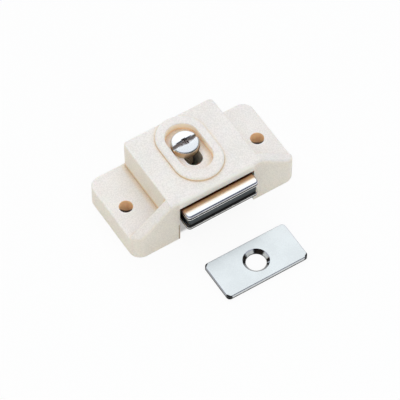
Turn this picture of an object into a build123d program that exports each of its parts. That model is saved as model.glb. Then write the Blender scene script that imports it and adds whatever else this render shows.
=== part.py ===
"""Adjustable magnetic catch for a cabinet door, with its strike plate.

A moulded housing is screwed down through its two end flanges. A magnet between two steel
pole plates slides in and out of the housing's front opening, and is held where it is set by
a clamp screw in a slot in the roof. The strike plate goes on the door.

Millimetres. The origin is midway between the two fixing holes, on the mounting plane.
+X runs along the catch, +Z points up out of the cabinet wall, and the poles face -Y.
"""
import os
from math import atan2, pi, tan
from build123d import *

os.makedirs("parts", exist_ok=True)

# ---- magnet and pole plates ---------------------------------------------------------------
pole_width = 21.3
pole_depth = 13.1
pole_thickness = 1.5
pole_reach = 3.2             # in front of the housing
pole_corner = 1.0            # plan radius of the two front corners
pole_round = 0.4             # rolled edge that blanking leaves on each plate's outer face
magnet_width = 20.2
magnet_depth = 12.5
magnet_thickness = 2.8
magnet_setback = 0.25        # behind the front edges of the pole plates
magnet_bevel = 0.3
tail_width = 12.0            # tongue of the lower pole plate, under the screw
tail_margin = 4.2            # behind the screw's axis
tail_corner = 2.0
collar_wall = 1.0            # plunged and tapped collar under the tongue
collar_height = 2.0

# ---- clamp screw, M4 ----------------------------------------------------------------------
screw_diameter = 4.0
screw_length = 10.0          # under the head
screw_point = 0.5            # chamfer at the end
head_diameter = 7.5
head_height = 2.3
head_round = 0.5
drive_slot_width = 1.2
drive_slot_depth = 1.1
drive_cross_span = 2.8
drive_cross_width = 1.3
drive_cross_depth = 1.5
drive_turn = 3.0             # degrees, where the slot stopped when the screw was eased
screw_rest = 3.2             # behind the line of the fixing holes
travel_back = 0.5            # from where the screw stands to the rear end of its slot
travel_forward = 4.15        # and to the front end

# ---- housing: outside ---------------------------------------------------------------------
hole_pitch = 40.0            # between the two fixing holes
hole_diameter = 3.7          # clears a 3.5 mm wood screw
base_length = 49.0
base_depth = 24.0
base_height = 6.5            # thickness of the end flanges
base_corner = 3.2            # plan radius of the four flange corners
block_height = 15.5          # mounting plane to the top of the block
block_corner = 1.2           # the two rear uprights of the block
side_wall = 2.3              # beside the magnet's cavity
gusset_thickness = 3.1       # the two ramps beside the front opening
gusset_toe_flat = 0.1        # left upright below the rounding at a ramp's outer end
front_round = 0.9            # top edge of the whole front, ramps and lip
edge_round = 0.4             # every other outer edge

# ---- housing: raised boss, screw recess and slot ------------------------------------------
boss_width = 13.8
boss_front = 9.6             # in front of the hole line
boss_rear_inset = 0.1        # from the rear face of the block
boss_rise = 0.9
boss_round = 0.7
recess_bevel = 0.2
recess_margin = 0.75         # round the screw head, sideways
recess_end_margin = 1.65     # past the screw head, at each end of its travel
seat_thickness = 1.0         # floor of the recess, under the screw head

# ---- housing: inside ----------------------------------------------------------------------
roof = 2.5                   # over the magnet's cavity
rear_wall = 2.0
cavity_corner = 0.8
rail_width = 1.8             # the two clamping rails under the roof
flange_wall = 2.0            # walls of the pockets that core out the flanges
flange_skin = 2.0            # above those pockets
pocket_rib = 1.2
post_wall = 2.0              # round each fixing hole

# ---- strike plate -------------------------------------------------------------------------
strike_length = 24.2
strike_width = 11.85
strike_thickness = 1.3
strike_corner = 1.0
strike_edge_round = 0.2
strike_hole = 5.4
strike_countersink = 7.05
strike_sink_angle = 90.0
strike_x = 1.08              # where it lies, beside the catch
strike_y = -28.77
strike_turn = -0.2           # degrees

# ---- clearances ---------------------------------------------------------------------------
opening_gap = 0.55           # each side of the pole plates
roof_gap = 0.55              # between the upper pole plate and the roof
slot_gap = 0.3               # round the screw in its slot
thread_gap = 0.05            # radial, screw in its tapped collar
clamp_gap = 0.1              # the clamp is drawn just eased
past = 1.0                   # how far a cutting shape runs past a face

# ---- places that follow from the sizes ----------------------------------------------------
front = -base_depth / 2
rear = base_depth / 2
opening_height = block_height - roof
cavity_width = pole_width + 2 * opening_gap
block_width = cavity_width + 2 * side_wall
boss_top = block_height + boss_rise
boss_rear = rear - boss_rear_inset
seat = opening_height + seat_thickness
slot_width = screw_diameter + 2 * slot_gap
slot_rear = screw_rest + travel_back
slot_front = screw_rest - travel_forward
slot_middle = (slot_rear + slot_front) / 2
slot_travel = slot_rear - slot_front
recess_width = head_diameter + 2 * recess_margin
recess_travel = slot_travel + 2 * (recess_end_margin - recess_margin)
pole_front = front - pole_reach
pole_rear = pole_front + pole_depth
upper_plate = opening_height - roof_gap - pole_thickness
magnet_level = upper_plate - magnet_thickness
lower_plate = magnet_level - pole_thickness
rail_bottom = magnet_level + clamp_gap
rail_front = pole_rear + travel_back + opening_gap
cavity_rear = rear - rear_wall
tapped_diameter = screw_diameter + 2 * thread_gap
ramp_run = (base_length - block_width) / 2
ramp_slope = atan2(block_height - base_height, ramp_run)
ramp_toe = front_round * tan((pi / 2 - ramp_slope) / 2) + gusset_toe_flat
ramp_drop = block_height - base_height - ramp_toe
pocket_inner = block_width / 2
pocket_outer = base_length / 2 - flange_wall


def on_level(edge, height):
    """True for an edge that lies flat at this height."""
    box = edge.bounding_box()
    return abs(box.min.Z - height) < 0.01 and abs(box.max.Z - height) < 0.01


def is_ridge(edge):
    """True for the rear upper edge of a ramp."""
    box = edge.bounding_box()
    return box.size.Z > base_height / 2 and box.size.X > box.size.Y + past


def is_crease(edge):
    """True for an edge in the corner between the block or a ramp and a flange."""
    box = edge.bounding_box()
    along_block = abs(abs(edge.center().X) - block_width / 2) < block_corner
    along_ramp = box.max.Y < front + gusset_thickness + 0.01
    return on_level(edge, base_height) and (along_block or along_ramp)


# ---- housing ------------------------------------------------------------------------------
with BuildPart() as housing:
    # The whole outline at the block's full height, then what stands clear is cut away
    with BuildSketch(Plane.XY):
        RectangleRounded(base_length, base_depth, base_corner)
    extrude(amount=block_height)
    # Above the slope of the ramps
    with BuildSketch(Plane.XZ.offset(-front - 2 * gusset_thickness)):
        with BuildLine():
            Polyline(
                (block_width / 2, block_height),
                (base_length / 2 + past, block_height - ramp_drop * (ramp_run + past) / ramp_run),
                (base_length / 2 + past, block_height + past),
                (block_width / 2, block_height + past),
                close=True,
            )
        make_face()
        mirror(about=Plane.YZ)
    extrude(amount=2 * gusset_thickness + past, mode=Mode.SUBTRACT)

    # The front's top edge: over the lip, down both ramps and round the flange corners
    front_edges = housing.edges().filter_by(
        lambda e: e.bounding_box().max.Y < front + base_corner + 0.01
        and e.center().Z > base_height + ramp_toe / 2
        and e.bounding_box().size.X > past
    )
    fillet(front_edges, front_round)
    # Behind the ramps, above both flanges
    with BuildSketch(Plane.XY.offset(base_height)):
        with BuildLine():
            Polyline(
                (block_width / 2, front + gusset_thickness),
                (base_length / 2 + past, front + gusset_thickness),
                (base_length / 2 + past, rear + past),
                (block_width / 2, rear + past),
                close=True,
            )
        make_face()
        mirror(about=Plane.YZ)
    extrude(amount=block_height, mode=Mode.SUBTRACT)
    uprights = housing.edges().filter_by(Axis.Z).filter_by(
        lambda e: e.center().Z > base_height and e.center().Y > rear - past
    )
    fillet(uprights, block_corner)
    # Every other outer edge above the mounting plane
    crests = housing.edges().filter_by(
        lambda e: e.center().Y > front + gusset_thickness - 0.01
        and e.length > past
        and (on_level(e, block_height) or on_level(e, base_height) or is_ridge(e))
        and not is_crease(e)
    )
    fillet(crests, edge_round)

    # Raised boss round the screw, open to the rear of the block
    with BuildSketch(Plane.XY.offset(block_height - boss_rise)):
        with Locations((0, (boss_rear - boss_front) / 2)):
            SlotOverall(boss_rear + boss_front, boss_width, rotation=90)
    extrude(amount=2 * boss_rise)
    fillet(housing.faces().sort_by(Axis.Z)[-1].edges(), boss_round)
    # Recess that the screw head sits in
    with BuildSketch(Plane.XY.offset(seat)):
        with Locations((0, slot_middle)):
            SlotCenterToCenter(recess_travel, recess_width, rotation=90)
    extrude(amount=block_height, mode=Mode.SUBTRACT)
    rim = housing.faces().sort_by(Axis.Z)[-1].inner_wires().edges()
    chamfer(rim, recess_bevel)
    # Slot that the screw slides in
    with BuildSketch(Plane.XY):
        with Locations((0, slot_middle)):
            SlotCenterToCenter(slot_travel, slot_width, rotation=90)
    extrude(amount=block_height, mode=Mode.SUBTRACT)

    # Cavity of the magnet, open below and in front
    with BuildSketch(Plane.XY):
        with Locations((0, (cavity_rear + front - past) / 2)):
            Rectangle(cavity_width, cavity_rear - front + past)
        rear_corners = vertices().group_by(Axis.Y)[-1]
        fillet(rear_corners, cavity_corner)
    extrude(amount=opening_height, mode=Mode.SUBTRACT)
    # Two rails under the roof, one each side of the slot, that the tongue is clamped against
    with BuildSketch(Plane.XY.offset(rail_bottom)):
        rail_middle = ((slot_width + rail_width) / 2, (rail_front + rear - rear_wall / 2) / 2)
        with Locations(rail_middle, (-rail_middle[0], rail_middle[1])):
            Rectangle(rail_width, rear - rear_wall / 2 - rail_front)
    extrude(amount=opening_height - rail_bottom + seat_thickness / 2)

    # Pockets that core out the flanges, round a post and its two ribs
    with BuildSketch(Plane.XY):
        with Locations(((pocket_inner + pocket_outer) / 2, 0)):
            RectangleRounded(
                pocket_outer - pocket_inner, base_depth - 2 * flange_wall, cavity_corner
            )
            Rectangle(pocket_rib, base_depth, mode=Mode.SUBTRACT)
        with Locations((hole_pitch / 2, 0)):
            Circle(hole_diameter / 2 + post_wall, mode=Mode.SUBTRACT)
        mirror(about=Plane.YZ)
    extrude(amount=base_height - flange_skin, mode=Mode.SUBTRACT)
    # Fixing holes
    with BuildSketch(Plane.XY):
        with GridLocations(hole_pitch, 0, 2, 1):
            Circle(hole_diameter / 2)
    extrude(amount=base_height, mode=Mode.SUBTRACT)
housing.part.label = "housing"
export_step(housing.part, "parts/housing.step")


# ---- magnet unit --------------------------------------------------------------------------
def pole_outline():
    """Plan of a pole plate: square at the back, rounded at its two front corners."""
    with Locations((0, (pole_front + pole_rear) / 2)):
        Rectangle(pole_width, pole_depth)
    fillet(vertices().group_by(Axis.Y)[0], pole_corner)


def rolled_edges(plate, height):
    """Edges round the front and the sides of a pole plate, on its face at this height."""
    return plate.edges().filter_by(
        lambda e: on_level(e, height) and e.center().Y < pole_rear - pole_round
    )


with BuildPart() as upper_pole_plate:
    with BuildSketch(Plane.XY.offset(upper_plate)):
        pole_outline()
    extrude(amount=pole_thickness)
    fillet(rolled_edges(upper_pole_plate, upper_plate + pole_thickness), pole_round)
upper_pole_plate.part.label = "upper_pole_plate"
export_step(upper_pole_plate.part, "parts/upper_pole_plate.step")

with BuildPart() as magnet:
    with BuildSketch(Plane.XY.offset(magnet_level)):
        with Locations((0, pole_front + magnet_setback + magnet_depth / 2)):
            Rectangle(magnet_width, magnet_depth)
    extrude(amount=magnet_thickness)
    chamfer(magnet.edges(), magnet_bevel)
magnet.part.label = "magnet"
export_step(magnet.part, "parts/magnet.step")

with BuildPart() as lower_pole_plate:
    with BuildSketch(Plane.XY.offset(lower_plate)):
        pole_outline()
    extrude(amount=pole_thickness)
    fillet(rolled_edges(lower_pole_plate, lower_plate), pole_round)
    # Tongue that reaches back under the clamp screw
    tail_rear = screw_rest + tail_margin
    with BuildSketch(Plane.XY.offset(lower_plate)):
        with Locations((0, (pole_rear - past + tail_rear) / 2)):
            Rectangle(tail_width, tail_rear - pole_rear + past)
        fillet(vertices().group_by(Axis.Y)[-1], tail_corner)
    extrude(amount=pole_thickness)
    # Plunged collar, tapped for the screw
    with BuildSketch(Plane.XY.offset(lower_plate - collar_height)):
        with Locations((0, screw_rest)):
            Circle(tapped_diameter / 2 + collar_wall)
    extrude(amount=collar_height)
    with BuildSketch(Plane.XY.offset(lower_plate - collar_height)):
        with Locations((0, screw_rest)):
            Circle(tapped_diameter / 2)
    extrude(amount=collar_height + pole_thickness, mode=Mode.SUBTRACT)
lower_pole_plate.part.label = "lower_pole_plate"
export_step(lower_pole_plate.part, "parts/lower_pole_plate.step")


# ---- clamp screw --------------------------------------------------------------------------
with BuildPart() as clamp_screw:
    with BuildSketch(Plane.YZ):
        with BuildLine():
            head_bottom = seat + clamp_gap
            head_top = head_bottom + head_height
            point = seat - screw_length
            Polyline(
                (screw_rest, head_top),
                (screw_rest, point),
                (screw_rest + screw_diameter / 2 - screw_point, point),
                (screw_rest + screw_diameter / 2, point + screw_point),
                (screw_rest + screw_diameter / 2, head_bottom),
                (screw_rest + head_diameter / 2, head_bottom),
                (screw_rest + head_diameter / 2, head_top),
                close=True,
            )
        make_face()
    revolve(axis=Axis((0, screw_rest, 0), (0, 0, 1)))
    fillet(clamp_screw.faces().sort_by(Axis.Z)[-1].edges(), head_round)
    # Combined drive: a straight slot right across, and a cross
    with BuildSketch(Plane.XY.offset(head_top - drive_slot_depth)):
        with Locations((0, screw_rest)):
            Rectangle(head_diameter + past, drive_slot_width, rotation=drive_turn)
    extrude(amount=drive_slot_depth + past, mode=Mode.SUBTRACT)
    with BuildSketch(Plane.XY.offset(head_top - drive_cross_depth)):
        with Locations((0, screw_rest)):
            Rectangle(drive_cross_span, drive_cross_width, rotation=drive_turn)
            Rectangle(drive_cross_width, drive_cross_span, rotation=drive_turn)
    extrude(amount=drive_cross_depth + past, mode=Mode.SUBTRACT)
clamp_screw.part.label = "clamp_screw"
export_step(clamp_screw.part, "parts/clamp_screw.step")


# ---- strike plate -------------------------------------------------------------------------
with BuildPart() as strike_plate:
    lying = Plane(origin=(strike_x, strike_y, 0)).rotated((0, 0, strike_turn))
    with BuildSketch(lying):
        RectangleRounded(strike_length, strike_width, strike_corner)
    extrude(amount=strike_thickness)
    fillet(strike_plate.faces().sort_by(Axis.Z)[-1].edges(), strike_edge_round)
    with Locations((strike_x, strike_y, strike_thickness)):
        CounterSinkHole(
            strike_hole / 2, strike_countersink / 2, counter_sink_angle=strike_sink_angle
        )
strike_plate.part.label = "strike_plate"
export_step(strike_plate.part, "parts/strike_plate.step")
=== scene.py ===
"""Magnetic cabinet catch with its strike plate: finishes, screw thread, floor, light and camera.

Metres, in the part's own frame: +X along the catch, +Z up out of the cabinet wall, poles to -Y.
The moulded housing, magnet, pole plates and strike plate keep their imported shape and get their
finishes here. The clamp screw is built again with its thread, rolled head and combination recess.
"""
import math

import bmesh
import bpy
from mathutils import Matrix, Vector


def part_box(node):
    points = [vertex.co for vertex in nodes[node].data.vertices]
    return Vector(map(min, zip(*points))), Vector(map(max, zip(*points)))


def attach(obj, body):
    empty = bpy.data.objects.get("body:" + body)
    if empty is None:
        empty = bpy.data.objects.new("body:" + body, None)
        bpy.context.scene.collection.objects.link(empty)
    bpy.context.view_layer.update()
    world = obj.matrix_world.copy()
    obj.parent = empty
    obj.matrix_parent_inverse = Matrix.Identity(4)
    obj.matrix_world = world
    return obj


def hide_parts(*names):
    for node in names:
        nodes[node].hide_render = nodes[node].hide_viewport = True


MM = 0.001

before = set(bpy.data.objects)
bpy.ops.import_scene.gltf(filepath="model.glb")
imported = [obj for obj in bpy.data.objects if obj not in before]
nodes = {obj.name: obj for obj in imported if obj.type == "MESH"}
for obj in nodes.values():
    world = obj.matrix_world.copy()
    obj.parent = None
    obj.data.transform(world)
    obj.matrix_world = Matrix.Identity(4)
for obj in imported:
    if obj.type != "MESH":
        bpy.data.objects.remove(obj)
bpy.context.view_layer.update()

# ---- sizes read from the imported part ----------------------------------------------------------
screw_low, screw_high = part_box("clamp_screw")
screw_axis = Vector(((screw_low.x + screw_high.x) / 2, (screw_low.y + screw_high.y) / 2, 0.0))
head_radius = (screw_high.x - screw_low.x) / 2
housing_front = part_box("housing")[0].y
upper_low, upper_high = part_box("upper_pole_plate")
lower_plate_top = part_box("lower_pole_plate")[1].z
magnet_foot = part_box("magnet")[0].z
strike_low, strike_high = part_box("strike_plate")
pole_thickness = upper_high.z - upper_low.z

# ---- sizes of the clamp screw -----------------------------------------------------------------
HEAD_HEIGHT = 2.3 * MM
CREST_RADIUS = 2.0 * MM              # of the M4 thread
ROOT_RADIUS = 1.62 * MM

# ---- places on the housing that the finishes follow -------------------------------------------
SEAT_LEVEL = 13.9 * MM               # the recess starts just above the clamp screw's seat
FLANGE_LEVEL = 6.5 * MM              # the mouths of the fixing holes
JAMB = 11.2 * MM                     # half the width of the front opening
AWAY = (0.53, 0.85)                  # level direction away from the main light, across and along


# ---- node helpers -----------------------------------------------------------------------------
class Net:
    """Adds nodes to one node tree. A value is a plain value or another node's output."""

    def __init__(self, tree):
        self.nodes, self.links = tree.nodes, tree.links

    def feed(self, socket, value):
        """Joins a node's output to the socket, or sets a plain value on it."""
        if isinstance(value, bpy.types.NodeSocket):
            self.links.new(value, socket)
        elif socket.type == "RGBA":
            socket.default_value = (*value, 1.0)
        else:
            socket.default_value = value

    def math(self, operation, *values):
        """The result of a math node."""
        node = self.nodes.new("ShaderNodeMath")
        node.operation = operation
        for socket, value in zip(node.inputs, values):
            self.feed(socket, value)
        return node.outputs[0]

    def product(self, first, *others):
        """All of these multiplied together."""
        for other in others:
            first = self.math("MULTIPLY", first, other)
        return first

    def length(self, across, along):
        """The length of a level line with these two parts."""
        square = self.math("MULTIPLY", across, across)
        return self.math("SQRT", self.math("MULTIPLY_ADD", along, along, square))

    def step(self, value, start, end):
        """A soft step: 0 before start and 1 past end, or the other way when end is the smaller."""
        node = self.nodes.new("ShaderNodeMapRange")
        node.interpolation_type = "SMOOTHSTEP"
        node.inputs["From Min"].default_value = min(start, end)
        node.inputs["From Max"].default_value = max(start, end)
        node.inputs["To Min"].default_value = 0.0 if start < end else 1.0
        node.inputs["To Max"].default_value = 1.0 if start < end else 0.0
        self.feed(node.inputs["Value"], value)
        return node.outputs["Result"]

    def span(self, value, low, high, start=0.0, end=1.0):
        """Takes start to end evenly onto low to high."""
        node = self.nodes.new("ShaderNodeMapRange")
        node.inputs["From Min"].default_value = start
        node.inputs["From Max"].default_value = end
        node.inputs["To Min"].default_value = low
        node.inputs["To Max"].default_value = high
        self.feed(node.inputs["Value"], value)
        return node.outputs["Result"]

    def ramp(self, value, *stops):
        """A colour that runs through these stops of (position, colour)."""
        node = self.nodes.new("ShaderNodeValToRGB")
        while len(node.color_ramp.elements) < len(stops):
            node.color_ramp.elements.new(0.5)
        for element, (position, colour) in zip(node.color_ramp.elements, stops):
            element.position = position
            element.color = (*colour, 1.0)
        self.feed(node.inputs["Fac"], value)
        return node.outputs["Color"]

    def mix(self, factor, first, second, way="MIX"):
        """The second colour over the first, or both multiplied, as far as factor says."""
        node = self.nodes.new("ShaderNodeMix")
        node.data_type = "RGBA"
        node.blend_type = way
        for label, value in (("Factor", factor), ("A", first), ("B", second)):
            self.feed(node.inputs[label], value)
        return node.outputs["Result"]

    def tint(self, base, mask, colour):
        """Multiplies base by colour where the mask is 1."""
        return self.mix(mask, base, colour, "MULTIPLY")

    def split(self, vector):
        """The X, Y and Z parts of a vector."""
        node = self.nodes.new("ShaderNodeSeparateXYZ")
        self.feed(node.inputs[0], vector)
        return node.outputs["X"], node.outputs["Y"], node.outputs["Z"]

    def place(self, kind="Object"):
        """Where a point of the piece lies."""
        return self.nodes.new("ShaderNodeTexCoord").outputs[kind]

    def lean(self):
        """The X, Y and Z parts of the surface's normal."""
        return self.split(self.nodes.new("ShaderNodeNewGeometry").outputs["Normal"])

    def upright(self):
        """1 on faces that stand upright, 0 on level ones."""
        return self.step(self.math("ABSOLUTE", self.lean()[2]), 0.75, 0.35)

    def noise(self, scale, detail=2.0, roughness=0.5):
        """Noise round one half."""
        node = self.nodes.new("ShaderNodeTexNoise")
        node.inputs["Detail"].default_value = detail
        node.inputs["Roughness"].default_value = roughness
        self.feed(node.inputs["Scale"], scale)
        self.feed(node.inputs["Vector"], self.place())
        return node.outputs["Fac"]

    def crease(self, distance, samples=12):
        """Ambient occlusion of the piece by itself: 1 in the open, 0 deep in a crease."""
        node = self.nodes.new("ShaderNodeAmbientOcclusion")
        node.only_local = True
        node.samples = samples
        node.inputs["Distance"].default_value = distance
        return node.outputs["AO"]

    def bump(self, height, strength, distance):
        """The normal of a finely uneven surface."""
        node = self.nodes.new("ShaderNodeBump")
        node.inputs["Strength"].default_value = strength
        node.inputs["Distance"].default_value = distance
        self.feed(node.inputs["Height"], height)
        return node.outputs["Normal"]

    def placed(self, group, **values):
        """The outputs of a node group, placed with its own values."""
        node = self.nodes.new("ShaderNodeGroup")
        node.node_tree = group
        for label, value in values.items():
            node.inputs[label.replace("_", " ").title()].default_value = value
        return node.outputs

    def mix_shaders(self, factor, first, second):
        """The second shader over the first."""
        node = self.nodes.new("ShaderNodeMixShader")
        for socket, value in zip(node.inputs, (factor, first, second)):
            self.links.new(value, socket)
        return node.outputs[0]


def new_material(name):
    """An empty node material and its net."""
    material = bpy.data.materials.new(name)
    material.use_nodes = True
    material.node_tree.nodes.clear()
    return material, Net(material.node_tree)


def new_finish(name, metallic=0.0):
    """A material with its own Principled shader: the material, its net and the shader's inputs."""
    material, net = new_material(name)
    output = net.nodes.new("ShaderNodeOutputMaterial")
    shader = net.nodes.new("ShaderNodeBsdfPrincipled")
    shader.inputs["Metallic"].default_value = metallic
    net.links.new(shader.outputs[0], output.inputs["Surface"])
    return material, net, shader.inputs


# ---- camera, floor and light ------------------------------------------------------------------
def add_camera():
    """A long lens from the front left, looking down on the catch and its strike plate."""
    azimuth, elevation, distance = math.radians(31.97), math.radians(55.09), 0.768
    roll = math.radians(-0.23)
    target = Vector((-0.55 * MM, -4.65 * MM, 0.0))
    towards = Vector((
        -math.sin(azimuth) * math.cos(elevation),
        -math.cos(azimuth) * math.cos(elevation),
        math.sin(elevation),
    ))
    camera_data = bpy.data.cameras.new("studio_camera")
    camera_data.lens = 266.4
    camera_data.sensor_width = 36.0
    camera_data.clip_start = 0.01
    camera_data.clip_end = 10.0
    camera = bpy.data.objects.new("studio_camera", camera_data)
    bpy.context.scene.collection.objects.link(camera)
    camera.location = towards * distance
    look = (target - camera.location).to_track_quat("-Z", "Y").to_matrix().to_4x4()
    camera.matrix_world = (
        Matrix.Translation(camera.location) @ look @ Matrix.Rotation(roll, 4, "Z")
    )
    bpy.context.scene.camera = camera


def paper_material():
    """White studio paper: near white where it is seen, and shaded by the object.

    It keeps the shade below the magnet unit. It is clear from beneath and to what lies right on
    it, so the underside can be looked at.
    """
    seen, mirrored, shade_kept, skin = 0.91, 0.70, 0.8, 0.15 * MM
    material, net = new_material("studio_paper")
    output = net.nodes.new("ShaderNodeOutputMaterial")
    paper = net.nodes.new("ShaderNodeBsdfDiffuse")
    net.feed(paper.inputs["Color"], (0.90, 0.90, 0.90))
    glow = net.nodes.new("ShaderNodeEmission")
    net.feed(glow.inputs["Color"], (1.0, 1.0, 1.0))
    path = net.nodes.new("ShaderNodeLightPath").outputs
    share = net.math("MULTIPLY", path["Is Camera Ray"], seen)
    for ray, strength in (("Is Glossy Ray", mirrored), ("Is Transmission Ray", seen)):
        share = net.math("MAXIMUM", share, net.math("MULTIPLY", path[ray], strength))

    across, along, _ = net.split(net.place())
    below_unit = net.product(
        net.step(net.math("ABSOLUTE", across), JAMB, JAMB - 0.5 * MM),
        net.step(along, -10.8 * MM, -10.0 * MM),
        net.step(along, 10.0 * MM, 8.0 * MM),
    )
    share = net.math("MULTIPLY", share, net.math("MULTIPLY_ADD", below_unit, -shade_kept, 1.0))
    lit = net.mix_shaders(share, paper.outputs[0], glow.outputs[0])
    behind = net.nodes.new("ShaderNodeNewGeometry").outputs["Backfacing"]
    beneath = net.math("MAXIMUM", behind, net.math("LESS_THAN", path["Ray Length"], skin))
    clear = net.nodes.new("ShaderNodeBsdfTransparent")
    net.feed(output.inputs["Surface"], net.mix_shaders(beneath, lit, clear.outputs[0]))
    return material


def add_floor():
    """A plain sheet of paper under the catch."""
    bpy.ops.object.select_all(action="DESELECT")
    bpy.ops.mesh.primitive_plane_add(size=6.0, location=(0.0, 0.0, -0.05 * MM))
    floor = bpy.context.object
    floor.name = "floor"
    floor.data.materials.append(paper_material())


def room_zone(net, towards, inner, outer, base, colour):
    """Blends colour over base where the view direction is within inner to outer of towards."""
    facing = net.nodes.new("ShaderNodeVectorMath")
    facing.operation = "DOT_PRODUCT"
    facing.inputs[1].default_value = Vector(towards).normalized()
    net.feed(facing.inputs[0], net.place("Generated"))
    near = net.step(facing.outputs["Value"], math.cos(math.radians(outer)),
                    math.cos(math.radians(inner)))
    return net.mix(near, base, colour)


def add_lamp(name, width, depth, glow, colour, place):
    """An area lamp at this place, facing down, of the same brightness at any size."""
    light = bpy.data.lights.new(name, "AREA")
    light.shape = "RECTANGLE"
    light.size = width
    light.size_y = depth
    light.energy = glow * math.pi * width * depth
    light.color = colour
    lamp = bpy.data.objects.new(name, light)
    bpy.context.scene.collection.objects.link(lamp)
    lamp.location = place
    return lamp


def add_light():
    """A softbox overhead, three fills, a pale far wall and a dark front to the room.

    Bright metal mirrors only the softbox's back parts, so its rolled front edges stay dark.
    """
    softbox_width, softbox_height, softbox_glow, fill_size = 0.75, 0.5, 0.79, 0.5
    for name, front, back, mirrored, colour in (
        ("softbox_back", 0.14, 0.50, True, (0.94, 1.0, 1.07)),
        ("softbox_middle", 0.0, 0.14, True, (0.80, 0.93, 1.15)),
        ("softbox_front", -0.33, 0.0, False, (0.94, 1.0, 1.07)),
    ):
        softbox = add_lamp(name, softbox_width, back - front, softbox_glow, colour,
                           (0.0, (front + back) / 2, softbox_height))
        softbox.visible_glossy = mirrored
    for name, place, glow, colour in (
        ("fill_front", (0.06, -0.52, 0.33), 1.50, (1.0, 0.985, 0.93)),
        ("fill_left", (-0.62, -0.05, 0.24), 0.70, (1.0, 0.91, 0.66)),
        ("fill_right", (0.60, 0.10, 0.35), 0.30, (0.97, 1.0, 1.0)),
    ):
        fill = add_lamp(name, fill_size, fill_size, glow, colour, place)
        fill.rotation_euler = (-Vector(place)).to_track_quat("-Z", "Y").to_euler()
        fill.visible_glossy = False
        fill.visible_camera = False

    world = bpy.data.worlds.new("studio")
    bpy.context.scene.world = world
    world.use_nodes = True
    world.node_tree.nodes.clear()
    net = Net(world.node_tree)
    room_tone = (0.40, 0.40, 0.385)
    dark = room_zone(net, (0.25, -0.92, 0.30), 20.0, 56.0, room_tone, (0.05, 0.055, 0.075))
    far_wall = room_zone(net, (0.30, 0.95, 0.15), 30.0, 55.0, dark, (1.1, 1.1, 1.1))
    room = net.nodes.new("ShaderNodeBackground")
    net.feed(room.inputs["Color"], far_wall)
    backdrop = net.nodes.new("ShaderNodeBackground")
    net.feed(backdrop.inputs["Color"], (1.0, 1.0, 1.0))
    seen = net.nodes.new("ShaderNodeLightPath").outputs["Is Camera Ray"]
    output = net.nodes.new("ShaderNodeOutputWorld")
    net.feed(output.inputs["Surface"],
             net.mix_shaders(seen, room.outputs[0], backdrop.outputs[0]))


# ---- shared finish groups ---------------------------------------------------------------------
def new_group(name, inputs, outputs):
    """A node group of plain numbers in and out: the group, its net, its inputs and outputs."""
    group = bpy.data.node_groups.new(name, "ShaderNodeTree")
    for label, value in inputs.items():
        socket = group.interface.new_socket(name=label, in_out="INPUT",
                                            socket_type="NodeSocketFloat")
        socket.default_value = value
    for label in outputs:
        group.interface.new_socket(name=label, in_out="OUTPUT", socket_type="NodeSocketFloat")
    net = Net(group)
    entry = net.nodes.new("NodeGroupInput").outputs
    result = net.nodes.new("NodeGroupOutput").inputs
    return group, net, entry, result


def mottle_group():
    """Fine grain over slow cloudiness: a mask round one half, and a height for bump."""
    group, net, entry, result = new_group(
        "mottle", {"Grain Scale": 2500.0, "Cloud Scale": 180.0, "Grain Share": 0.5},
        ("Mask", "Height"))
    grain = net.noise(entry["Grain Scale"], 3.0, 0.6)
    cloud = net.noise(entry["Cloud Scale"])
    blend = net.nodes.new("ShaderNodeMix")
    blend.data_type = "FLOAT"
    for label, value in (("Factor", entry["Grain Share"]), ("A", cloud), ("B", grain)):
        net.feed(blend.inputs[label], value)
    net.feed(result["Mask"], blend.outputs["Result"])
    net.feed(result["Height"], grain)
    return group


def bore_group():
    """Masks of the walls of the two fixing holes, and of the screw's recess and slot.

    Height is up the housing. Lean is how far a wall of a fixing hole lies from its middle on the
    side away from the main light, and thrice that on the near side.
    """
    group, net, entry, result = new_group(
        "bores",
        {"Hole Place": 20.0 * MM, "Hole Radius": 1.85 * MM, "Recess Middle": 1.4 * MM,
         "Recess Travel": 3.3 * MM, "Recess Radius": 4.5 * MM},
        ("Holes", "Recess", "Height", "Lean"))
    across, along, up = net.split(net.place())
    upright = net.upright()

    from_hole = net.math("SUBTRACT", net.math("ABSOLUTE", across), entry["Hole Place"])
    spare = net.math("SUBTRACT", net.length(from_hole, along), entry["Hole Radius"])
    net.feed(result["Holes"], net.product(net.step(spare, 0.15 * MM, 0.05 * MM), upright))

    offset = net.math("SUBTRACT", along, entry["Recess Middle"])
    past_travel = net.math("SUBTRACT", net.math("ABSOLUTE", offset), entry["Recess Travel"])
    beyond = net.math("MAXIMUM", 0.0, past_travel)
    spare = net.math("SUBTRACT", net.length(across, beyond), entry["Recess Radius"])
    net.feed(result["Recess"], net.product(net.step(spare, 0.12 * MM, 0.04 * MM), upright))
    net.feed(result["Height"], up)

    signed = net.math("MULTIPLY", from_hole, net.math("SIGN", across))
    slant = net.math("MULTIPLY_ADD", signed, AWAY[0], net.math("MULTIPLY", along, AWAY[1]))
    net.feed(result["Lean"], net.math("MAXIMUM", slant, net.math("MULTIPLY", slant, -3.0)))
    return group


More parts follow.
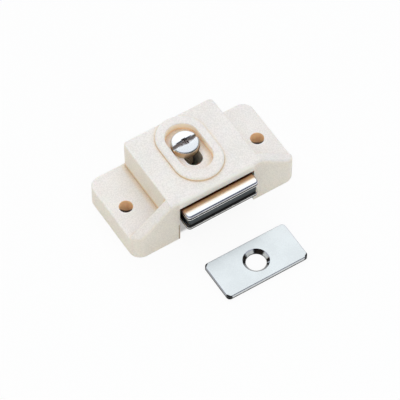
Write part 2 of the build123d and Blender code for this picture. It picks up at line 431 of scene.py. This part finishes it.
def cut_edge_group():
    """Masks of a blanked edge's torn band, ragged above a thin bright burr, and of its roll.

    The torn band is painted near black, partly for its real rough fracture and partly as painted
    shade along the joint beside it.
    """
    group, net, entry, result = new_group(
        "blanked_edge",
        {"Burr Level": 0.0, "Roll Level": 1.0 * MM, "Torn Share": 0.4, "Burr Share": 0.12,
         "Roll Share": 0.73},
        ("Torn", "Roll"))
    up = net.split(net.place())[2]
    height = net.math("SUBTRACT", up, entry["Burr Level"])
    whole = net.math("SUBTRACT", entry["Roll Level"], entry["Burr Level"])
    share = net.math("DIVIDE", height, whole)
    wander = net.math("MULTIPLY_ADD", net.noise(900.0), 0.22, share)
    torn = net.step(net.math("SUBTRACT", wander, entry["Torn Share"]), 0.16, 0.07)
    above_burr = net.step(net.math("SUBTRACT", share, entry["Burr Share"]), -0.03, 0.03)
    net.feed(result["Torn"], net.product(torn, above_burr, net.upright()))
    turned = net.step(net.math("ABSOLUTE", net.lean()[2]), 0.985, 0.90)
    near_roll = net.step(net.math("SUBTRACT", share, entry["Roll Share"]), -0.04, 0.04)
    net.feed(result["Roll"], net.product(near_roll, turned))
    return group


MOTTLE = mottle_group()
BORES = bore_group()
CUT_EDGE = cut_edge_group()


# ---- finishes ---------------------------------------------------------------------------------
def add_unevenness(net, inputs, mottle, strength, depth):
    """A fine bump that follows the mottle."""
    net.feed(inputs["Normal"], net.bump(mottle["Height"], strength, depth))


def jamb_and_lip(net):
    """Masks of a painted shade line low along the left jamb's edge, and of painted light on the
    lip over the poles, for the light the pole plate throws up onto it.
    """
    across, along, up = net.split(net.place())
    over_poles = net.step(net.math("ABSOLUTE", across), JAMB + 0.4 * MM, JAMB - 0.3 * MM)
    at_front = net.step(along, housing_front + 1.0 * MM, housing_front + 0.1 * MM)
    jamb_shade = net.product(
        net.step(across, -JAMB - 0.5 * MM, -JAMB - 0.3 * MM),
        net.step(across, -JAMB + 0.2 * MM, -JAMB + 0.1 * MM),
        net.step(up, 6.6 * MM, 5.8 * MM),
        net.step(along, housing_front + 1.4 * MM, housing_front + 1.0 * MM),
    )
    return jamb_shade, net.product(over_poles, at_front, 0.7)


def ivory_plastic():
    """Ivory ABS from a fine spark-eroded mould.

    The faint warm glow in its bores stands for the light that its thin walls let through.
    Its front lip over the poles carries painted light, for the light the pole plate throws up onto
    it, and the foot of its left jamb's edge a painted shade line. Painted warm shade darkens its
    creases, screw recess and fixing holes, with a painted shadow low in the holes.
    """
    material, net, inputs = new_finish("ivory_moulded_plastic")
    inputs["Specular IOR Level"].default_value = 0.35
    mottle = net.placed(MOTTLE, grain_scale=2600.0, cloud_scale=160.0, grain_share=0.8)
    tone = net.ramp(mottle["Mask"], (0.42, (0.825, 0.785, 0.750)), (0.58, (0.930, 0.885, 0.850)))
    bores = net.placed(BORES)
    # Painted shade in the creases, by how much the piece hides itself, weaker on level faces.
    creases = net.ramp(
        net.crease(2.0 * MM),
        (0.20, (0.42, 0.27, 0.17)), (0.42, (0.72, 0.49, 0.30)), (0.70, (0.96, 0.82, 0.62)),
        (0.90, (1.0, 1.0, 1.0)))
    upright = net.upright()
    # Painted warm light on the upright faces, for warm light bounced onto them.
    sides = net.tint(tone, upright, (1.0, 0.985, 0.92))
    colour = net.tint(sides, net.math("MULTIPLY_ADD", upright, 0.45, 0.55), creases)

    above_seat = net.step(bores["Height"], SEAT_LEVEL, SEAT_LEVEL + 0.15 * MM)
    in_recess = net.math("MULTIPLY", bores["Recess"], above_seat)
    # Painted warm shade down the screw recess walls above the seat, deep brown at their foot, also
    # standing for light warmed through the thin wall.
    recess_warm_shade = net.ramp(
        net.crease(1.6 * MM),
        (0.20, (0.42, 0.18, 0.07)), (0.38, (0.94, 0.56, 0.29)), (0.58, (1.0, 0.75, 0.50)),
        (0.85, (1.0, 0.93, 0.82)))
    colour = net.mix(in_recess, colour, recess_warm_shade)
    # Painted warm shade down the walls of the fixing holes, by ambient occlusion.
    hole_warm_shade = net.ramp(
        net.crease(2.6 * MM),
        (0.10, (0.74, 0.34, 0.17)), (0.35, (1.0, 0.60, 0.34)), (0.70, (1.0, 0.73, 0.47)))
    colour = net.mix(bores["Holes"], colour, hole_warm_shade)
    # Painted shadow low in the fixing holes, where the near rim hides the main light; it slants up
    # on the side away from the light.
    shaded = net.math("MULTIPLY_ADD", bores["Lean"], 2.2, bores["Height"])
    foot = net.product(
        bores["Holes"], net.step(shaded, FLANGE_LEVEL - 0.15 * MM, FLANGE_LEVEL - 0.6 * MM))
    colour = net.tint(colour, foot, (0.04, 0.02, 0.012))

    jamb_shade, lip = jamb_and_lip(net)
    # Painted shade line along the foot of the left jamb's edge.
    colour = net.tint(colour, jamb_shade, (0.42, 0.31, 0.22))
    # Painted light on the lip over the poles, for the light the pole plate throws up onto it.
    net.feed(inputs["Base Color"], net.mix(lip, colour, (1.0, 0.975, 0.91)))

    lit_holes = net.math("MULTIPLY", net.math("SUBTRACT", bores["Holes"], foot), 0.032)
    through = net.math("MULTIPLY_ADD", in_recess, 0.10, lit_holes)
    net.feed(inputs["Emission Color"], net.mix(through, (0.0, 0.0, 0.0), (1.0, 0.62, 0.30)))
    inputs["Emission Strength"].default_value = 1.0
    inputs["Subsurface Weight"].default_value = 0.15
    inputs["Subsurface Radius"].default_value = (1.0, 0.45, 0.22)
    inputs["Subsurface Scale"].default_value = 1.0 * MM
    net.feed(inputs["Roughness"], net.span(mottle["Mask"], 0.48, 0.62))
    add_unevenness(net, inputs, mottle, 0.7, 0.045 * MM)
    return material


def corner_dark_reflection(net):
    """1 on the strike plate's corners, where a dark reflection is painted, all but the one
    furthest right and back.
    """
    spare, away = 0.0, []
    parts = net.split(net.place())
    for offset, low, high in zip(parts[:2], strike_low, strike_high):
        offset = net.math("SUBTRACT", offset, (low + high) / 2)
        from_side = net.math("SUBTRACT", (high - low) / 2, net.math("ABSOLUTE", offset))
        spare = net.math("ADD", spare, from_side)
        away.append(net.step(offset, 1.0 * MM, -1.0 * MM))
    ragged = net.math("MULTIPLY_ADD", net.noise(1200.0), 0.7 * MM, spare)
    corner = net.step(ragged, 1.75 * MM, 1.45 * MM)
    return net.product(corner, net.math("MAXIMUM", *away))


def turned_cone(net):
    """1 on the strike plate's countersink, by the lean of its surface."""
    away = net.nodes.new("ShaderNodeVectorMath")
    away.operation = "DISTANCE"
    net.feed(away.inputs[0], net.place())
    away.inputs[1].default_value = (strike_low + strike_high) / 2
    near = net.step(away.outputs["Value"], 3.9 * MM, 3.7 * MM)
    return net.product(near, net.step(net.lean()[2], 0.9, 0.8))


def cone_mark(net, turn, middle, half):
    """1 where turn is within half of middle."""
    far = net.math("ABSOLUTE", net.math("SUBTRACT", turn, math.radians(middle)))
    return net.step(far, math.radians(half), math.radians(0.7 * half))


def cone_marks(net, cone):
    """Where dark reflections are painted on the cone, with painted shade on its faces turned away
    from the main light, and where the countersinking tool left it dull.

    Each mark is (way out from the middle, half width) in degrees.
    """
    across, along, _ = net.lean()
    turn = net.math("ARCTAN2", net.math("MULTIPLY", along, -1.0),
                    net.math("MULTIPLY", across, -1.0))
    forward = net.math("MULTIPLY_ADD", across, AWAY[0], net.math("MULTIPLY", along, AWAY[1]))
    # Painted shade on the cone's faces turned away from the main light.
    dark_reflection = net.product(net.step(forward, 0.1, 0.2), 0.75)
    dull = 0.0
    for middle, half in ((44.0, 27.0), (131.0, 14.0), (-26.0, 12.0)):
        dark_reflection = net.math("MAXIMUM", dark_reflection, cone_mark(net, turn, middle, half))
    for middle, half in ((92.0, 24.0), (2.0, 18.0)):
        dull = net.math("MAXIMUM", dull, cone_mark(net, turn, middle, half))
    return net.product(cone, dark_reflection), net.product(cone, dull)


def blanked_steel(name, tint, rough, levels, shares, roll_tint, lip_reflection=None, corners=False):
    """Plated sheet steel with the torn band that blanking leaves along its cut edges.

    rough is its roughness, from low to high. levels is the height of its burr and of its rolled
    side. shares is how far up between them the burr, the torn band and the bright band reach.
    roll_tint multiplies the rolled edge with a painted reflection: bluish on the upper plate and
    the strike, near black painted shade on the lower plate. The torn band is painted near black,
    partly for the shade along the joint beside it.
    The pair (front, back) that follows gives the places along Y between which a painted brown
    reflection of the housing's lip, deepening into painted shade beneath it, lies over the
    plating.
    corners: the strike plate gets a painted dark reflection on its corners, painted shade on its
    left end, and in its countersink painted dark reflections and duller patches left by the tool.
    """
    material, net, inputs = new_finish(name, metallic=1.0)
    mottle = net.placed(MOTTLE, grain_scale=3200.0, cloud_scale=220.0, grain_share=0.5)
    dark = tuple(0.92 * value for value in tint)
    tone = net.ramp(mottle["Mask"], (0.43, dark), (0.57, tint))
    edge = net.placed(CUT_EDGE, burr_level=levels[0], roll_level=levels[1],
                      burr_share=shares[0], torn_share=shares[1], roll_share=shares[2])
    # The torn band is painted near black: its real rough fracture, and painted shade along the
    # joint beside it.
    colour = net.tint(tone, edge["Torn"], (0.03, 0.025, 0.025))
    # Painted reflection on the rolled edge.
    colour = net.tint(colour, edge["Roll"], roll_tint)
    roughness = net.math(
        "MULTIPLY_ADD", edge["Torn"], 0.35, net.span(mottle["Mask"], *rough))
    if corners:
        cone = turned_cone(net)
        dark_reflection, dull = cone_marks(net, cone)
        # Painted shade on the strike plate's left end face.
        left_end_shade = net.step(net.lean()[0], -0.8, -0.9)
        # Painted dark reflection on the strike plate's corners.
        colour = net.tint(colour, corner_dark_reflection(net), (0.03, 0.03, 0.03))
        # Painted dark reflections in the countersink.
        colour = net.tint(colour, dark_reflection, (0.06, 0.05, 0.045))
        colour = net.tint(colour, left_end_shade, (0.45, 0.45, 0.46))
        roughness = net.math("MULTIPLY_ADD", cone, -0.22, roughness)
        net.feed(inputs["Metallic"], net.math("MULTIPLY_ADD", dull, -0.9, 1.0))
    # Painted brown reflection of the housing's lip, deepening into painted shade under the
    # housing.
    if lip_reflection:
        along = net.split(net.place())[1]
        lip_reflection_tone = net.ramp(
            net.span(along, 0.0, 1.0, *lip_reflection),
            (0.0, (1.0, 1.0, 1.0)), (0.16, (0.98, 0.84, 0.69)), (0.55, (0.84, 0.52, 0.31)),
            (1.0, (0.36, 0.15, 0.07)))
        colour = net.tint(colour, 1.0, lip_reflection_tone)
    net.feed(inputs["Base Color"], colour)
    net.feed(inputs["Roughness"], roughness)
    add_unevenness(net, inputs, mottle, 0.15, 0.01 * MM)
    return material


def turned_steel(name, tint, rough):
    """Bright plating over turned steel, with painted brownish shade in its drive recess and a
    painted golden reflection of the tan recess walls below its rolled rim.

    Dust lies in its slot and on the crests of its thread. Painted shade darkens its slot walls,
    its thread's grooves and its side band where it turns away.
    """
    material, net, inputs = new_finish(name, metallic=1.0)
    mottle = net.placed(MOTTLE, grain_scale=3000.0, cloud_scale=220.0, grain_share=0.5)
    dark = tuple(0.94 * value for value in tint)
    tone = net.ramp(mottle["Mask"], (0.35, dark), (0.65, tint))
    open_face = net.crease(0.9 * MM, 16)
    # Painted shade in the drive recess and slot, by ambient occlusion.
    drive_recess_shade = net.ramp(
        open_face,
        (0.25, (0.16, 0.11, 0.10)), (0.45, (0.86, 0.72, 0.67)), (0.74, (0.96, 0.89, 0.86)),
        (0.88, (1.0, 1.0, 1.0)))

    across, along, up = net.split(net.place())
    top, under_head = screw_high.z, screw_high.z - HEAD_HEIGHT
    reach = net.length(across, net.math("SUBTRACT", along, screw_axis.y))
    outside = net.math("MAXIMUM", net.step(reach, head_radius - 0.3 * MM, head_radius - 0.1 * MM),
                       net.step(up, under_head + 0.1 * MM, under_head))
    side = net.product(net.step(up, top - 0.35 * MM, top - 0.65 * MM), outside)
    rim = net.nodes.new("ShaderNodeLayerWeight")
    rim.inputs["Blend"].default_value = 0.5
    grazing_shade = net.product(side, net.step(rim.outputs["Facing"], 0.55, 0.85))
    on_shank = net.step(up, under_head + 0.05 * MM, under_head - 0.05 * MM)
    groove = net.product(
        on_shank, net.step(reach, CREST_RADIUS - 0.08 * MM, ROOT_RADIUS + 0.16 * MM))
    hollow = net.step(open_face, 0.70, 0.50)
    in_slot = net.product(hollow, net.math("SUBTRACT", 1.0, outside))
    slot_wall = net.product(net.upright(), in_slot)

    # Painted golden reflection of the tan recess walls on the head's side band.
    colour = net.tint(tone, side, (1.0, 0.80, 0.55))
    # Painted shade where the side band turns away at grazing angles.
    colour = net.tint(colour, grazing_shade, (0.30, 0.20, 0.15))
    # Painted shade in the thread's grooves.
    colour = net.tint(colour, groove, (0.14, 0.10, 0.08))
    # Painted shade on the slot walls.
    colour = net.tint(colour, slot_wall, (0.22, 0.14, 0.12))
    # The painted recess shade is laid on the head only, not on the thread.
    net.feed(inputs["Base Color"], net.tint(colour, net.math("SUBTRACT", 1.0, on_shank), drive_recess_shade))
    dusty = net.math("MAXIMUM", net.math("SUBTRACT", in_slot, slot_wall),
                     net.math("SUBTRACT", on_shank, groove))
    net.feed(inputs["Metallic"], net.math("MULTIPLY_ADD", dusty, -0.75, 1.0))
    dulled = net.math("MAXIMUM", net.product(side, 0.30), net.product(hollow, 0.40))
    net.feed(inputs["Roughness"], net.math("ADD", dulled, net.span(mottle["Mask"], *rough)))
    add_unevenness(net, inputs, mottle, 0.15, 0.01 * MM)
    return material


def ferrite():
    """Ground sintered ferrite: dark blue grey, with painted shade making it blacker along its
    foot.
    """
    material, net, inputs = new_finish("sintered_ferrite")
    inputs["Specular IOR Level"].default_value = 0.3
    mottle = net.placed(MOTTLE, grain_scale=3200.0, cloud_scale=240.0, grain_share=0.6)
    tone = net.ramp(mottle["Mask"], (0.35, (0.018, 0.028, 0.033)), (0.7, (0.030, 0.047, 0.057)))
    up = net.split(net.place())[2]
    # Painted shade, darker towards the magnet's foot.
    foot = net.step(up, magnet_foot + 1.5 * MM, magnet_foot + 0.4 * MM)
    net.feed(inputs["Base Color"], net.tint(tone, foot, (0.10, 0.10, 0.10)))
    net.feed(inputs["Roughness"], net.span(mottle["Mask"], 0.28, 0.48))
    add_unevenness(net, inputs, mottle, 0.3, 0.02 * MM)
    return material


# ---- clamp screw ------------------------------------------------------------------------------
def select_where(piece, wanted):
    """In edit mode, selects the vertices that wanted accepts, and what they close."""
    bpy.ops.mesh.select_mode(type="VERT")
    bpy.ops.mesh.select_all(action="DESELECT")
    shape = bmesh.from_edit_mesh(piece.data)
    for vertex in shape.verts:
        vertex.select = wanted(vertex.co)
    shape.select_flush_mode()
    bmesh.update_edit_mesh(piece.data)


def only(piece):
    """Makes piece the one selected, active object."""
    bpy.ops.object.select_all(action="DESELECT")
    piece.select_set(True)
    bpy.context.view_layer.objects.active = piece


def settle(name):
    """Names the primitive just added and puts its place, turn and scale into its mesh."""
    piece = bpy.context.object
    piece.name = name
    bpy.ops.object.transform_apply(location=True, rotation=True, scale=True)
    return piece


def add_drum(name, radius, bottom, top, sides):
    """An upright cylinder on the Z axis."""
    bpy.ops.object.select_all(action="DESELECT")
    bpy.ops.mesh.primitive_cylinder_add(
        vertices=sides, radius=radius, depth=top - bottom, location=(0.0, 0.0, (top + bottom) / 2))
    return settle(name)


def combine(piece, other, operation):
    """Joins other to piece, cuts it away, or keeps what they share, and drops other."""
    only(piece)
    modifier = piece.modifiers.new("combine", "BOOLEAN")
    modifier.operation = operation
    modifier.solver = "EXACT"
    modifier.object = other
    bpy.ops.object.modifier_apply(modifier="combine")
    bpy.data.objects.remove(other, do_unlink=True)


def add_blade(name, length, width, bottom, top, turn, taper):
    """An upright bar that narrows towards its bottom, for cutting a drive recess."""
    bpy.ops.object.select_all(action="DESELECT")
    bpy.ops.mesh.primitive_cube_add(
        size=1.0, location=(0.0, 0.0, (top + bottom) / 2), rotation=(0.0, 0.0, turn))
    bpy.context.object.scale = (length, width, top - bottom)
    blade = settle(name)
    bpy.ops.object.mode_set(mode="EDIT")
    select_where(blade, lambda place: place.z < (top + bottom) / 2)
    bpy.ops.transform.resize(value=(taper, taper, 1.0), center_override=(0.0, 0.0, bottom))
    bpy.ops.object.mode_set(mode="OBJECT")
    return blade


def add_thread(pitch, bottom, turns):
    """A right-hand thread ridge: a trapezium swept up round the axis, closed at both ends."""
    bpy.ops.object.select_all(action="DESELECT")
    inner = ROOT_RADIUS - 0.12 * MM
    middle = (CREST_RADIUS + inner) / 2
    foot_share, crest_share = 0.96, 0.14
    bpy.ops.mesh.primitive_plane_add(
        size=1.0, location=(middle, 0.0, bottom), rotation=(math.pi / 2, 0.0, 0.0))
    bpy.context.object.scale = (CREST_RADIUS - inner, foot_share * pitch, 1.0)
    ridge = settle("thread_ridge")
    bpy.ops.object.mode_set(mode="EDIT")
    select_where(ridge, lambda place: place.x > middle)
    bpy.ops.transform.resize(
        value=(1.0, 1.0, crest_share), center_override=(CREST_RADIUS, 0.0, bottom))
    bpy.ops.mesh.select_all(action="SELECT")
    bpy.ops.mesh.delete(type="ONLY_FACE")
    bpy.ops.object.mode_set(mode="OBJECT")
    sweep = ridge.modifiers.new("sweep", "SCREW")
    sweep.axis = "Z"
    sweep.angle = 2 * math.pi
    sweep.screw_offset = pitch
    sweep.iterations = turns
    sweep.steps = 40
    sweep.render_steps = 40
    bpy.ops.object.modifier_apply(modifier="sweep")
    bpy.ops.object.mode_set(mode="EDIT")
    for end in (bottom, bottom + turns * pitch):
        select_where(ridge, lambda place: abs(place.z - end) < 0.49 * pitch
                     and abs(place.y) < 1e-6 and place.x > 0.0)
        bpy.ops.mesh.edge_face_add()
    bpy.ops.mesh.select_all(action="SELECT")
    bpy.ops.mesh.normals_make_consistent(inside=False)
    bpy.ops.object.mode_set(mode="OBJECT")
    return ridge


def add_head():
    """The screw's pan head: rolled rim, slight crown, and the slot and cross cut into it."""
    top, bottom = screw_high.z, screw_high.z - HEAD_HEIGHT
    crown, rolled, clear = 0.16 * MM, 0.5 * MM, 1.0 * MM
    slot_width, slot_depth, slot_lip = 1.2 * MM, 1.1 * MM, 0.12 * MM
    cross_width, cross_depth, flank = 1.3 * MM, 1.5 * MM, 0.55
    turn = math.radians(3.0)

    head = add_drum("clamp_screw_threaded", head_radius, bottom, top - crown, 96)
    bpy.ops.object.mode_set(mode="EDIT")
    select_where(head, lambda place: place.z > bottom + HEAD_HEIGHT / 2)
    bpy.ops.mesh.bevel(offset=rolled, segments=7, affect="EDGES")
    select_where(head, lambda place: place.z > top - crown - 1e-6)
    bpy.ops.mesh.select_mode(type="FACE")
    for ring, rise in ((0.7 * MM, 0.07 * MM), (0.9 * MM, 0.055 * MM), (1.0 * MM, 0.035 * MM)):
        bpy.ops.mesh.inset(thickness=ring, depth=rise)
    select_where(head, lambda place: place.z < bottom + 1e-6)
    bpy.ops.mesh.bevel(offset=0.12 * MM, segments=3, affect="EDGES")
    bpy.ops.object.mode_set(mode="OBJECT")

    slot = add_blade("slot", 3 * head_radius, slot_width, top - slot_depth, top + clear, turn, 1.0)
    combine(head, slot, "DIFFERENCE")
    lip_width = (slot_width + 2 * slot_lip) * (1 + clear / slot_lip / 6)
    lip = add_blade("slot_lip", 3 * head_radius, lip_width, top - crown - slot_lip, top + clear,
                    turn, slot_width / lip_width)
    combine(head, lip, "DIFFERENCE")
    for quarter, span in ((0.0, 2.8 * MM), (math.pi / 2, 2.0 * MM)):
        cross = add_blade("cross", 1.25 * span, 1.15 * cross_width, top - cross_depth,
                          top + cross_depth / 2, turn + quarter, flank)
        combine(head, cross, "DIFFERENCE")
    return head


def add_clamp_screw(material):
    """Pan head screw with a combined slot and cross, a slight crown and a rolled M4 thread."""
    pitch, point, tip = 0.7 * MM, 0.5 * MM, screw_low.z
    under_head = screw_high.z - HEAD_HEIGHT

    screw = add_head()
    shank = add_drum("shank", ROOT_RADIUS, tip, under_head + 0.3 * MM, 80)
    combine(shank, add_thread(pitch, tip - pitch, 15), "UNION")
    envelope = add_drum("envelope", CREST_RADIUS, tip, under_head + 0.2 * MM, 80)
    bpy.ops.object.mode_set(mode="EDIT")
    select_where(envelope, lambda place: place.z < tip + 1e-6)
    bpy.ops.mesh.bevel(offset=point, segments=1, affect="EDGES")
    bpy.ops.object.mode_set(mode="OBJECT")
    combine(shank, envelope, "INTERSECT")
    combine(screw, shank, "UNION")

    only(screw)
    bpy.ops.object.mode_set(mode="EDIT")
    bpy.ops.mesh.select_all(action="SELECT")
    bpy.ops.mesh.remove_doubles(threshold=0.0005 * MM)
    bpy.ops.transform.translate(value=screw_axis)
    bpy.ops.mesh.normals_make_consistent(inside=False)
    bpy.ops.object.mode_set(mode="OBJECT")
    bpy.ops.object.shade_smooth_by_angle(angle=math.radians(32.0))
    screw.data.materials.append(material)
    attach(screw, "clamp")
    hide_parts("clamp_screw")


# ---- dressing ---------------------------------------------------------------------------------
def dress(node, material):
    """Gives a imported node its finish."""
    nodes[node].data.materials.clear()
    nodes[node].data.materials.append(material)


def dress_plates():
    """The pole plates, blanked from one sheet with their rolls outwards, and the strike plate."""
    nickel, polish = (0.80, 0.80, 0.785), (0.08, 0.17)
    # The upper plate's rolled edge gets a painted bluish reflection, and its top a painted brown
    # reflection of the housing's lip.
    dress("upper_pole_plate", blanked_steel(
        "nickel_plate_upper_pole", nickel, polish, (upper_low.z, upper_high.z),
        (0.18, 0.52, 0.78), (0.72, 0.75, 0.95), (housing_front - 1.95 * MM, housing_front)))
    # The lower plate's rolled edge gets near black painted shade.
    dress("lower_pole_plate", blanked_steel(
        "nickel_plate_lower_pole", nickel, polish,
        (lower_plate_top, lower_plate_top - pole_thickness),
        (-0.2, 0.32, 0.50), (0.10, 0.10, 0.09)))
    # The strike plate's rolled edge gets a painted bluish reflection.
    dress("strike_plate", blanked_steel(
        "satin_zinc_plate_strike", (0.70, 0.725, 0.72), (0.26, 0.38),
        (strike_low.z, strike_high.z), (-0.2, 0.28, 0.80), (0.86, 0.86, 1.0), corners=True))


add_camera()
add_floor()
add_light()
dress("housing", ivory_plastic())
dress("magnet", ferrite())
dress_plates()
bright_zinc = turned_steel("bright_zinc_plate", (0.70, 0.71, 0.72), (0.16, 0.26))
dress("clamp_screw", bright_zinc)
add_clamp_screw(bright_zinc)

scene = bpy.context.scene
scene.view_settings.view_transform = "Standard"
